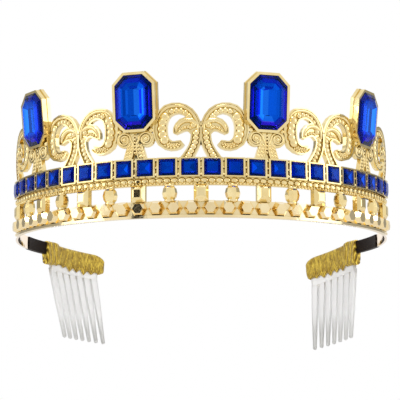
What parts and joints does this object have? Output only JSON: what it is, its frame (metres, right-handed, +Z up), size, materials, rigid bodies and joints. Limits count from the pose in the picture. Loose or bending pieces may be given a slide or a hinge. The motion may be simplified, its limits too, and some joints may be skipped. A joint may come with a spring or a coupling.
{
  "type": "costume crown",
  "caption": "Open-backed gold-coloured costume crown with scrollwork, tall octagonal blue stones, a row of square blue stones and a clear hair comb bound on at each end.",
  "frame": {"origin": "centre of the ring, level with the bottom edge of the band, where the wearer's head enters", "axes": "+Z up when worn, -Y towards the crown's front, +X towards the right end as seen from the front"},
  "size_m": [0.147, 0.1361, 0.0931],
  "materials": {
    "gold_plate": "polished pale gold plate on a cast zinc alloy",
    "blue_stone": "clear royal blue with a foiled back, polished facets",
    "black_sleeve": "black shrink sleeve, satin",
    "gold_braid": "metallic gold ribbon braid, glittering",
    "clear_comb": "clear moulded plastic, glossy"
  },
  "bodies": {
    "root": {"frame": "gold_plate", "gem_1": "blue_stone", "gem_2": "blue_stone", "gem_3": "blue_stone", "gem_4": "blue_stone", "stone_01": "blue_stone", "stone_02": "blue_stone", "stone_03": "blue_stone", "stone_04": "blue_stone", "stone_05": "blue_stone", "stone_06": "blue_stone", "stone_07": "blue_stone", "stone_08": "blue_stone", "stone_09": "blue_stone", "stone_10": "blue_stone", "stone_11": "blue_stone", "stone_12": "blue_stone", "stone_13": "blue_stone", "stone_14": "blue_stone", "stone_15": "blue_stone", "stone_16": "blue_stone", "stone_17": "blue_stone", "stone_18": "blue_stone", "stone_19": "blue_stone", "stone_20": "blue_stone", "stone_21": "blue_stone", "stone_22": "blue_stone", "stone_23": "blue_stone", "stone_24": "blue_stone", "sleeve_left": "black_sleeve", "sleeve_right": "black_sleeve", "wrap_left": "gold_braid", "wrap_right": "gold_braid", "comb_left": "clear_comb", "comb_right": "clear_comb"}
  },
  "joints": []
}
